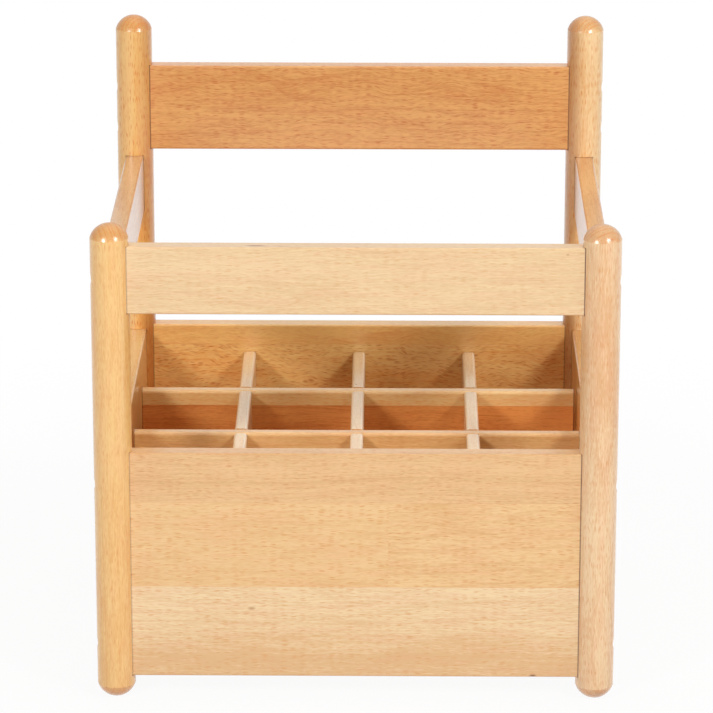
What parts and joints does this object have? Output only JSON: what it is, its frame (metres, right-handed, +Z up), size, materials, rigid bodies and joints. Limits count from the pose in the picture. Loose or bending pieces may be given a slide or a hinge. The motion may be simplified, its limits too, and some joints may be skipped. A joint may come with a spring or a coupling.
{
  "type": "tool storage caddy",
  "caption": "Open wooden caddy on round posts with rails above a box divided into upright compartments by a lift-out grid, for hobby tools.",
  "frame": {"origin": "on the floor, in the middle between the four posts", "axes": "+Z up, front towards -Y, +X to the right seen from the front"},
  "size_m": [0.38, 0.338, 0.442],
  "materials": {
    "front_left_post": "clear satin lacquer",
    "front_right_post": "clear satin lacquer",
    "back_left_post": "clear satin lacquer",
    "back_right_post": "clear satin lacquer",
    "front_rail": "clear satin lacquer",
    "back_rail": "clear satin lacquer",
    "left_side_rail": "clear satin lacquer",
    "right_side_rail": "clear satin lacquer",
    "front_panel": "clear satin lacquer",
    "back_panel": "clear satin lacquer",
    "left_side_panel": "clear satin lacquer",
    "right_side_panel": "clear satin lacquer",
    "bottom_board": "clear satin lacquer",
    "front_rail_screws": "zinc plated",
    "back_rail_screws": "zinc plated",
    "front_panel_screws": "zinc plated",
    "back_panel_screws": "zinc plated",
    "left_rail_dowels": "plain sanded",
    "right_rail_dowels": "plain sanded",
    "left_panel_dowels": "plain sanded",
    "right_panel_dowels": "plain sanded",
    "row_divider_front": "clear satin lacquer",
    "row_divider_back": "clear satin lacquer",
    "column_divider_left": "clear satin lacquer",
    "column_divider_middle": "clear satin lacquer",
    "column_divider_right": "clear satin lacquer"
  },
  "bodies": {
    "frame": {"front_left_post": "front_left_post", "front_right_post": "front_right_post", "back_left_post": "back_left_post", "back_right_post": "back_right_post", "front_rail": "front_rail", "back_rail": "back_rail", "left_side_rail": "left_side_rail", "right_side_rail": "right_side_rail", "front_panel": "front_panel", "back_panel": "back_panel", "left_side_panel": "left_side_panel", "right_side_panel": "right_side_panel", "bottom_board": "bottom_board", "front_rail_screws": "front_rail_screws", "back_rail_screws": "back_rail_screws", "front_panel_screws": "front_panel_screws", "back_panel_screws": "back_panel_screws", "left_rail_dowels": "left_rail_dowels", "right_rail_dowels": "right_rail_dowels", "left_panel_dowels": "left_panel_dowels", "right_panel_dowels": "right_panel_dowels"},
    "divider_insert": {"row_divider_front": "row_divider_front", "row_divider_back": "row_divider_back", "column_divider_left": "column_divider_left", "column_divider_middle": "column_divider_middle", "column_divider_right": "column_divider_right"}
  },
  "joints": [
    {"name": "insert_lift", "type": "slide", "parent": "frame", "child": "divider_insert", "axis": [0, 0, 1], "range_m": [0, 0.42]}
  ]
}
